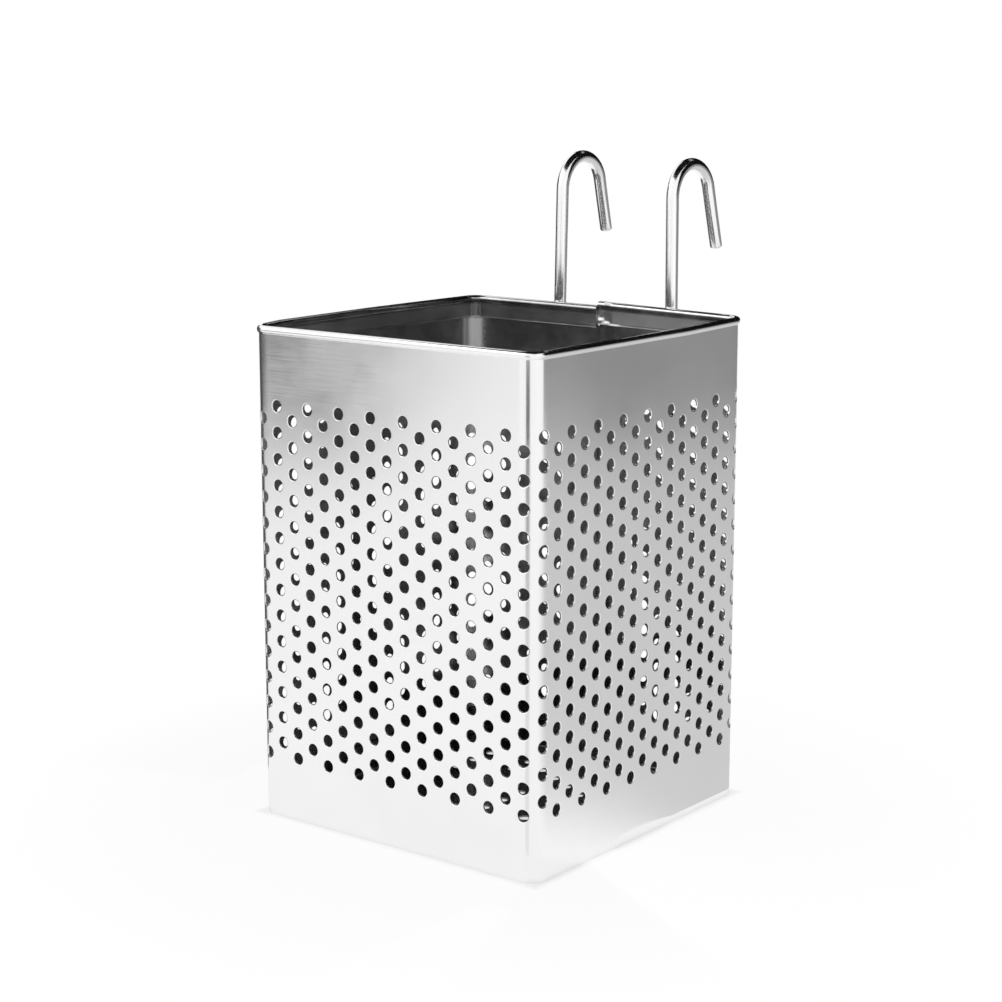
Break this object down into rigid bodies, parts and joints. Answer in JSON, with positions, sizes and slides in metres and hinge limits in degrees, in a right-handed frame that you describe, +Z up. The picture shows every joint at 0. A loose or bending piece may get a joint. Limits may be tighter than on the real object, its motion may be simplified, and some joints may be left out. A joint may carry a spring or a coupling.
{
  "type": "utensil drainer",
  "caption": "Square perforated sheet-steel basket with a rolled rim, a drained floor pan and wire hooks behind its rim, which stands or hangs from a rail while utensils drip dry.",
  "frame": {"origin": "middle of the flat underside, where the basket stands", "axes": "+Z up through the open top, +Y towards the back wall that carries the hooks, +X to the right seen from the front"},
  "size_m": [0.1062, 0.1354, 0.1981],
  "materials": {
    "satin_sheet": "satin stainless sheet",
    "polished_wire": "polished stainless wire",
    "weld_metal": "cleaned weld bead"
  },
  "bodies": {
    "root": {"wall_sheet": "satin_sheet", "base_pan": "satin_sheet", "hook_left": "polished_wire", "hook_right": "polished_wire", "hook_left_welds": "weld_metal", "hook_right_welds": "weld_metal", "seam_spot_welds": "weld_metal", "base_spot_welds": "weld_metal"}
  },
  "joints": []
}
